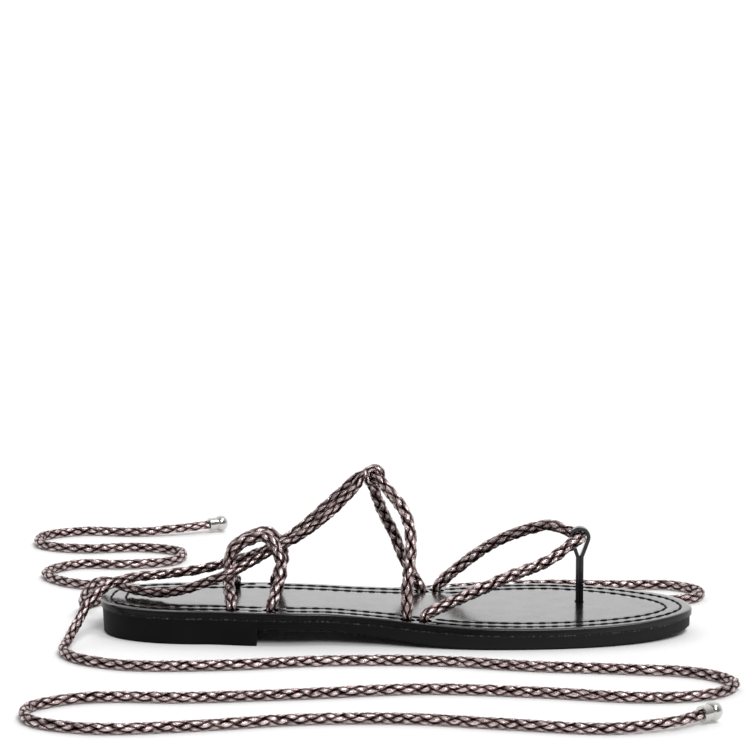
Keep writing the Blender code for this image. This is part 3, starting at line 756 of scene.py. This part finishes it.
def braid_piece(name, strands, length, first, last):
    """One mesh of a braid between two points of its path, with a height for its painted shade and highlight,
    and a UV map.
    """
    vertices = []
    faces = []
    heights = []
    runs = []
    for number, (corners, height) in enumerate(strands):
        rings = corners[first : last + 1]
        base = len(vertices)
        count, around = rings.shape[:2]
        vertices += (rings.reshape(-1, 3) * MM).tolist()
        heights += height[first : last + 1].reshape(-1).tolist()
        for i in range(first, last + 1):
            runs += [(length[i] + STRAND_OFFSET * number, k / around) for k in range(around)]
        for i in range(count - 1):
            for k in range(around):
                after = (k + 1) % around
                low, high = base + i * around, base + (i + 1) * around
                faces.append((low + k, low + after, high + after, high + k))
        faces.append(tuple(base + k for k in range(around))[::-1])
        faces.append(tuple(base + (count - 1) * around + k for k in range(around)))
    mesh = bpy.data.meshes.new(name)
    mesh.from_pydata(vertices, [], faces)
    mesh.attributes.new("painted_shade_height", "FLOAT", "POINT").data.foreach_set("value", heights)
    corner_vertices = np.zeros(len(mesh.loops), dtype=np.int32)
    mesh.loops.foreach_get("vertex_index", corner_vertices)
    run = np.array(runs)[corner_vertices]
    mesh.uv_layers.new(name="strand").data.foreach_set("uv", run.astype(np.float32).ravel())
    mesh.shade_smooth()
    piece = bpy.data.objects.new(name, mesh)
    bpy.context.scene.collection.objects.link(piece)
    bpy.ops.object.select_all(action="DESELECT")
    piece.select_set(True)
    bpy.context.view_layer.objects.active = piece
    bpy.ops.object.mode_set(mode="EDIT")
    bpy.ops.mesh.select_all(action="SELECT")
    bpy.ops.mesh.normals_make_consistent(inside=False)
    bpy.ops.object.mode_set(mode="OBJECT")
    return piece


def squeezed(path, radius, place, share, half_length, ramp=4.0):
    """The radius at each point of a path, smaller near a place where another piece grips the cord."""
    past = np.clip((np.linalg.norm(path - np.array(place), axis=1) - half_length) / ramp, 0, 1)
    return radius * (share + (1 - share) * past)


def strap_foot(hole):
    """The two lowest points of a strap, straight down in its hole in the footbed."""
    x, y = hole
    return [(x, y, footbed_top(x) - FOOTBED_THICKNESS + GAP), (x, y, footbed_top(x) + FOOT_RISE)]


# Metallic faux leather: a pewter film with a rosy tint on brown backing cloth. Its colour carries a painted
# highlight where a strand rides up, painted shade at its folded edges, and near black painted shade down
# between the strands.
def metallic_braid(name, low, middle, high):
    """The film's material, with painted shade between and beside the strands and a painted highlight on top.
    """
    material, shader = new_material(name)
    height = add_node(material, "ShaderNodeAttribute", attribute_name="painted_shade_height").outputs["Fac"]
    run = add_node(material, "ShaderNodeUVMap", uv_map="strand").outputs["UV"]
    place = add_node(material, "ShaderNodeTexCoord").outputs["Object"]
    crease_scale = (1 / CREASE_MM, CREASES_AROUND, 1.0)
    stretched = add_node(material, "ShaderNodeMapping", {"Vector": run, "Scale": crease_scale})
    crease = add_node(
        material, "ShaderNodeTexNoise", {"Vector": stretched.outputs[0], "Scale": 1.0, "Detail": 5.0},
    )
    patch = add_node(
        material, "ShaderNodeTexNoise", {"Vector": place, "Scale": 1 / (FILM_PATCH_MM * MM), "Detail": 3.0},
    )
    mottle = add_node(
        material, "ShaderNodeMath", {0: patch.outputs["Fac"], 1: 0.35, 2: -0.17}, operation="MULTIPLY_ADD",
    )
    level = add_node(material, "ShaderNodeMath", {0: height, 1: mottle.outputs[0]}, operation="ADD")
    # Painted shade and highlight: near black low down, the film's own colour in the middle, a pale painted
    # highlight on tops.
    painted_shade_and_highlight = add_node(material, "ShaderNodeValToRGB", {"Fac": level.outputs[0]})
    painted_shade_and_highlight.color_ramp.elements[0].position = 0.2
    painted_shade_and_highlight.color_ramp.elements[0].color = linear(low)
    painted_shade_and_highlight.color_ramp.elements[1].position = 1.0
    painted_shade_and_highlight.color_ramp.elements[1].color = linear(high)
    painted_shade_and_highlight.color_ramp.elements.new(0.52).color = linear(middle)
    gloss = add_node(
        material, "ShaderNodeMapRange", {"Value": crease.outputs["Fac"], 1: 0.3, 2: 0.7, 3: 0.13, 4: 0.32},
    )
    crease_bump = add_node(
        material, "ShaderNodeBump",
        {"Height": crease.outputs["Fac"], "Strength": 1.0, "Distance": 0.6 * MM},
    )
    shader.inputs["Metallic"].default_value = 1.0
    link(material, painted_shade_and_highlight.outputs["Color"], shader.inputs["Base Color"])
    link(material, gloss.outputs[0], shader.inputs["Roughness"])
    link(material, crease_bump.outputs["Normal"], shader.inputs["Normal"])
    return material


# Near black painted shade, the film's own colour, and a pale painted highlight.
pewter_strap = metallic_braid("pewter_strap_braid", "#080404", "#7a6463", "#f2e0df")

POST_GRIP = (78.3, 7.6, 37.0)
thong_route = strap_foot(STRAP_HOLES[0]) + [
    (13.9, -32.2, 13.6),
    (19.0, -28.4, 15.0),
    (25.1, -24.0, 16.9),
    (33.7, -18.0, 19.2),
    (40.8, -13.6, 21.6),
    (49.0, -8.5, 24.0),
    (57.9, -3.4, 26.2),
    (65.5, 0.2, 29.0),
    (70.4, 1.9, 32.4),
    (74.0, 2.7, 35.0),
    (77.8, 4.6, 36.6),
    POST_GRIP,
    (77.8, 10.6, 37.4),
    (73.8, 12.9, 38.2),
    (70.5, 14.9, 39.2),
    (65.5, 18.4, 39.9),
    (58.5, 21.6, 38.0),
    (50.5, 24.4, 34.8),
    (43.2, 26.0, 31.2),
    (36.2, 26.6, 26.8),
    (29.0, 26.6, 21.3),
    (23.6, 25.9, 17.2),
    (19.4, 24.8, 13.6),
] + strap_foot(STRAP_HOLES[1])[::-1]

HITCH_PLACE = (-8.8, -5.6, 66.1)
instep_route = strap_foot(STRAP_HOLES[2]) + [
    (4.2, -34.6, 19.0),
    (4.7, -33.2, 27.0),
    (5.6, -31.4, 35.0),
    (5.9, -29.0, 42.0),
    (5.2, -26.0, 48.7),
    (3.2, -22.8, 54.0),
    (-0.4, -18.8, 58.4),
    (-3.8, -14.4, 61.8),
    (-6.6, -11.4, 64.7),
    (-8.4, -8.8, 66.0),
    HITCH_PLACE,
    (-8.9, -2.5, 65.9),
    (-9.6, 0.6, 63.4),
    (-9.4, 3.2, 59.2),
    (-8.2, 6.4, 54.6),
    (-6.6, 9.8, 49.8),
    (-4.6, 14.4, 44.2),
    (-1.2, 18.2, 37.2),
    (2.2, 20.8, 27.8),
    (6.3, 21.8, 19.6),
    (9.6, 21.4, 14.0),
] + strap_foot(STRAP_HOLES[3])[::-1]

loop_route = strap_foot(STRAP_HOLES[4]) + [
    (-68.4, -27.2, 17.4),
    (-69.2, -21.6, 19.4),
    (-69.6, -16.2, 20.9),
    (-69.8, -12.6, 23.6),
    (-69.8, -10.9, 28.6),
    (-68.9, -10.3, 33.9),
    (-66.2, -10.2, 36.7),
    (-61.6, -10.3, 39.3),
    (-57.2, -10.7, 40.8),
    (-53.2, -12.2, 40.6),
    (-50.4, -15.0, 37.5),
    (-48.2, -18.1, 32.8),
    (-47.7, -21.2, 28.8),
    (-48.5, -24.8, 24.2),
    (-50.4, -28.8, 19.2),
] + strap_foot(STRAP_HOLES[5])[::-1]
medial_loop_route = [(x, 2 * LOOP_MIRROR_Y - y, z) for x, y, z in loop_route]

for name, node, route, grips in (
    ("toe_thong_braid", "toe_thong", thong_route, [(POST_GRIP, 0.94, 2.5)]),
    ("instep_loop_braid", "instep_loop", instep_route, [(HITCH_PLACE, 0.66, 3.6)]),
    ("lateral_heel_loop_braid", "heel_loop_lateral", loop_route, []),
    ("medial_heel_loop_braid", "heel_loop_medial", medial_loop_route, []),
):
    path = smooth_path(route, SECTION_STEP)
    radius = np.full(len(path), STRAP_RADIUS)
    for place, share, half_length in grips + [(route[0], *HOLE_GRIP), (route[-1], *HOLE_GRIP)]:
        radius = np.minimum(radius, squeezed(path, STRAP_RADIUS, place, share, half_length))
    strands, length = braid_strands(path, radius, STRAP_CELL, STRAP_FACING)
    strap = braid_piece(name, strands, length, 0, len(path) - 1)
    finish_piece(strap, pewter_strap, "strap_braid", node)

# Lace and its ties
# One long, thinner braid of the same strip. Its middle is hitched round the top of the instep loop, both
# bars run back through the heel loops, cross behind the heel and end in loose ties on the floor.
LACE_RADIUS = 2.2
LACE_CELL = 7.2
FLOOR_Z = 2.35
TIE_START_X = -78.2
LACE_LOWEST_Z, LACE_WIDEST_Y = 10.0, 30.0
LACE_GRIP = (0.7, 5.2, 3.0)
HITCH_HALF = (
    # from a bar to the middle of the bight: towards the toe, out from the middle, up
    (-5.2, 1.75, 0.1),
    (-2.8, 1.6, 2.0),
    (-1.1, 1.5, 2.7),
    (1.0, 1.5, 2.6),
    (2.6, 1.5, 1.1),
    (2.6, 1.5, -1.1),
    (1.0, 1.5, -2.7),
    (-1.2, 2.1, -3.1),
    (-3.2, 3.5, -2.4),
    (-3.3, 3.4, -0.8),
    (-3.6, 2.8, 0.7),
    (-3.7, 1.5, 1.5),
    (-3.7, 0.0, 1.6),
)


def hitch_half(side):
    """One half of the hitch, on the lateral side for -1 and on the medial side for 1."""
    x, y, z = HITCH_PLACE
    return [(x + toe, y + side * out, z + up) for toe, out, up in HITCH_HALF]


lace_route = [
    (-78.0, -17.8, 23.4),
    (-69.6, -18.7, 26.9),
    (-60.0, -13.9, 31.0),
    (-50.4, -9.3, 35.7),
    (-39.5, -8.8, 41.4),
    (-27.6, -8.8, 50.6),
    (-21.9, -8.5, 56.2),
    (-17.2, -7.8, 61.2),
] + hitch_half(-1) + hitch_half(1)[-2::-1] + [
    (-17.2, -3.2, 64.0),
    (-21.9, -3.3, 59.5),
    (-27.7, -3.3, 54.3),
    (-39.6, -3.3, 43.5),
    (-50.4, -3.6, 35.9),
    (-60.0, 1.0, 31.0),
    (-69.6, 5.8, 26.9),
    (-78.0, 5.0, 24.6),
]
lateral_tie_route = [
    (-86.0, -15.4, 20.0),
    (-97.0, -12.4, 17.2),
    (-110.0, -5.6, 17.0),
    (-119.0, 1.6, 18.6),
    (-126.2, 8.4, 17.4),
    (-132.0, 15.6, 11.4),
    (-134.4, 24.0, 5.0),
    (-133.0, 33.0, FLOOR_Z),
    (-124.0, 43.0, FLOOR_Z),
    (-108.0, 44.0, FLOOR_Z),
    (-82.0, 36.5, FLOOR_Z),
    (-50.0, 32.0, FLOOR_Z),
    (-18.0, 35.0, FLOOR_Z),
    (12.0, 43.0, FLOOR_Z),
    (40.0, 54.0, FLOOR_Z),
    (68.0, 56.5, FLOOR_Z),
    (94.0, 48.5, FLOOR_Z),
    (114.0, 40.0, FLOOR_Z),
    (130.0, 44.0, FLOOR_Z),
    (134.0, 58.0, FLOOR_Z),
    (122.0, 70.0, FLOOR_Z),
    (98.0, 70.0, FLOOR_Z),
    (64.0, 71.0, FLOOR_Z),
    (28.0, 64.0, FLOOR_Z),
    (-8.0, 54.0, FLOOR_Z),
    (-46.0, 51.0, FLOOR_Z),
    (-84.0, 55.0, FLOOR_Z),
    (-118.0, 64.0, FLOOR_Z),
    (-146.0, 76.0, FLOOR_Z),
    (-158.0, 96.0, FLOOR_Z),
    (-146.0, 114.0, FLOOR_Z),
    (-122.0, 114.0, FLOOR_Z),
    (-102.0, 122.0, FLOOR_Z),
    (-100.0, 142.0, FLOOR_Z),
    (-120.0, 152.0, FLOOR_Z),
    (-146.0, 149.0, FLOOR_Z),
    (-166.0, 158.0, FLOOR_Z),
    (-168.0, 178.0, FLOOR_Z),
    (-150.0, 190.0, FLOOR_Z),
    (-124.0, 188.0, FLOOR_Z),
    (-102.0, 192.0, 3.4),
    (-90.0, 197.0, 4.0),
]
medial_tie_route = [
    (-87.0, 3.2, 23.2),
    (-98.0, -0.6, 22.6),
    (-110.0, -6.6, 22.6),
    (-119.0, -14.4, 21.4),
    (-126.8, -22.4, 16.4),
    (-131.4, -31.0, 9.0),
    (-134.4, -41.0, 4.0),
    (-135.0, -53.0, FLOOR_Z),
    (-126.0, -67.0, FLOOR_Z),
    (-104.0, -77.0, FLOOR_Z),
    (-68.0, -76.0, FLOOR_Z),
    (-28.0, -69.0, FLOOR_Z),
    (14.0, -69.0, FLOOR_Z),
    (54.0, -78.0, FLOOR_Z),
    (92.0, -83.0, FLOOR_Z),
    (119.0, -89.0, FLOOR_Z),
    (131.0, -105.0, FLOOR_Z),
    (120.0, -122.0, FLOOR_Z),
    (94.0, -127.0, FLOOR_Z),
    (54.0, -119.0, FLOOR_Z),
    (10.0, -114.0, FLOOR_Z),
    (-34.0, -121.0, FLOOR_Z),
    (-80.0, -127.0, FLOOR_Z),
    (-118.0, -127.0, FLOOR_Z),
    (-139.0, -141.0, FLOOR_Z),
    (-136.0, -161.0, FLOOR_Z),
    (-112.0, -172.0, FLOOR_Z),
    (-76.0, -168.0, FLOOR_Z),
    (-36.0, -159.0, FLOOR_Z),
    (4.0, -158.0, FLOOR_Z),
    (42.0, -166.0, FLOOR_Z),
    (76.0, -172.0, FLOOR_Z),
    (101.0, -167.0, 3.4),
    (112.0, -159.0, 4.0),
]

# Near black painted shade, the film's own colour, and a pale painted highlight.
pewter_lace = metallic_braid("pewter_lace_braid", "#080404", "#6c5756", "#eedbda")
whole_lace = smooth_path(lateral_tie_route[::-1] + lace_route + medial_tie_route, SECTION_STEP)
radius = squeezed(whole_lace, LACE_RADIUS, HITCH_PLACE, *LACE_GRIP)
strands, length = braid_strands(whole_lace, radius, LACE_CELL, (0.0, 0.0, 1.0))
lace_points = np.where((whole_lace[:, 0] > TIE_START_X) & (whole_lace[:, 2] > LACE_LOWEST_Z))[0]
lace_points = lace_points[np.abs(whole_lace[lace_points, 1]) < LACE_WIDEST_Y]
lace_first, lace_last = lace_points.min(), lace_points.max()
lace = braid_piece("lace_braid", strands, length, lace_first, lace_last)
finish_piece(lace, pewter_lace, "lace_braid", "lace")
tie_ranges = {"lateral": (0, lace_first), "medial": (lace_last, len(whole_lace) - 1)}
ties = {}
for side, (first, last) in tie_ranges.items():
    ties[side] = braid_piece(f"lace_tie_{side}_braid", strands, length, first, last)
    finish_piece(ties[side], pewter_lace, "lace_braid", f"lace_tie_{side}")

# End caps
# Turned and plated metal caps, crimped over the ties' ends: a plain sleeve that swells to a domed bead.
CAP_PROFILE = (
    # along the cap from its open end, radius
    (0.0, 2.3),
    (0.0, 2.9),
    (0.2, 3.1),
    (3.6, 3.1),
    (3.8, 2.9),
    (4.2, 2.9),
    (4.5, 3.3),
    (5.2, 3.65),
    (6.2, 3.75),
    (7.2, 3.6),
    (8.2, 3.1),
    (8.9, 2.2),
    (9.3, 1.1),
)
CAP_SEGMENTS = 40


def turned_cap(name, end, along):
    """A cap turned to its profile on a lathe, then set on the end of a tie."""
    bpy.ops.object.select_all(action="DESELECT")
    start_radius = CAP_PROFILE[0][1]
    bpy.ops.mesh.primitive_circle_add(vertices=CAP_SEGMENTS, radius=start_radius * MM, fill_type="NGON")
    cap = bpy.context.object
    cap.name = cap.data.name = name
    bpy.ops.object.mode_set(mode="EDIT")
    bpy.ops.mesh.select_all(action="SELECT")
    for (reach, radius), (next_reach, next_radius) in zip(CAP_PROFILE, CAP_PROFILE[1:]):
        step = (next_reach - reach) * MM
        growth = next_radius / radius
        bpy.ops.mesh.extrude_region_move(TRANSFORM_OT_translate={"value": (0, 0, step)})
        bpy.ops.transform.resize(value=(growth, growth, 1.0))
    bpy.ops.mesh.select_all(action="SELECT")
    bpy.ops.mesh.remove_doubles(threshold=0.000001)
    bpy.ops.mesh.normals_make_consistent(inside=False)
    bpy.ops.object.mode_set(mode="OBJECT")
    turn = Vector(along).to_track_quat("Z", "Y")
    for vertex in cap.data.vertices:
        vertex.co = turn @ vertex.co + (Vector(end) + Vector(along) * GAP) * MM
    smooth_by_angle(cap, 40)
    return cap


# Plated metal: bright nickel over a turned blank, clouded here and there by fine rub marks.
plated, shader = new_material("bright_nickel_plate")
shader.inputs["Base Color"].default_value = linear("#cfcdca")
shader.inputs["Metallic"].default_value = 1.0
place = add_node(plated, "ShaderNodeTexCoord").outputs["Object"]
# Real rub marks are about 0.2 mm wide. That is too fine to show, so they are drawn coarser.
RUB_MM = 0.8
rub = add_node(plated, "ShaderNodeTexNoise", {"Vector": place, "Scale": 1 / (RUB_MM * MM), "Detail": 5.0})
rub_gloss = add_node(
    plated, "ShaderNodeMapRange", {"Value": rub.outputs["Fac"], 1: 0.35, 2: 0.7, 3: 0.12, 4: 0.3},
)
link(plated, rub_gloss.outputs[0], shader.inputs["Roughness"])

for side, (first, last) in tie_ranges.items():
    tie_path = whole_lace[first : last + 1]
    if side == "lateral":
        tie_path = tie_path[::-1]
    cap = turned_cap(f"end_cap_{side}_turned", tie_path[-1], unit(tie_path[-1] - tie_path[-3]))
    finish_piece(cap, plated, "end_cap", f"end_cap_{side}")

# Floor and light
# A wide white table under two soft lights: one almost overhead, a little to the right, and a stronger one
# in front, above the camera, to catch the metal. A lit wall stands behind, and the studio is dim in front.
FLOOR_SIZE = 60.0
STUDIO_DIM, STUDIO_BRIGHT = 0.15, 1.16
LIT_WALL_DIRECTION = (0.0, 0.95, 0.3)

bpy.ops.object.select_all(action="DESELECT")
bpy.ops.mesh.primitive_plane_add(size=FLOOR_SIZE)
floor = bpy.context.object
floor.name = floor.data.name = "white_table"
# Matt white laminate: no shine, so the table is one even white with soft shadows.
table, shader = new_material("matt_white_table")
shader.inputs["Base Color"].default_value = linear("#fdfdfd")
shader.inputs["Roughness"].default_value = 1.0
shader.inputs["Specular IOR Level"].default_value = 0.0
floor.data.materials.append(table)

for name, strength, spread, turn in (
    # name, strength, spread and turn in degrees
    ("broad_high_light", 0.78, 25, (14, 24, 0)),
    ("small_front_light", 1.4, 24, (48, 0, 16)),
):
    light = bpy.data.lights.new(name, "SUN")
    light.energy = strength
    light.angle = math.radians(spread)
    light_place = bpy.data.objects.new(name, light)
    light_place.rotation_euler = [math.radians(angle) for angle in turn]
    bpy.context.scene.collection.objects.link(light_place)

studio = bpy.data.worlds.new("soft_studio")
bpy.context.scene.world = studio
studio.use_nodes = True
background = studio.node_tree.nodes["Background"]
background.inputs["Color"].default_value = (1.0, 1.0, 1.0, 1.0)
towards = add_node(studio, "ShaderNodeTexCoord").outputs["Generated"]
above_behind = add_node(
    studio, "ShaderNodeVectorMath", {0: towards, 1: LIT_WALL_DIRECTION}, operation="DOT_PRODUCT",
)
glow = add_node(
    studio, "ShaderNodeMapRange",
    {"Value": above_behind.outputs["Value"], 1: -0.3, 2: 1.0, 3: STUDIO_DIM, 4: STUDIO_BRIGHT},
)
link(studio, glow.outputs[0], background.inputs["Strength"])
bpy.context.scene.view_settings.view_transform = "Standard"
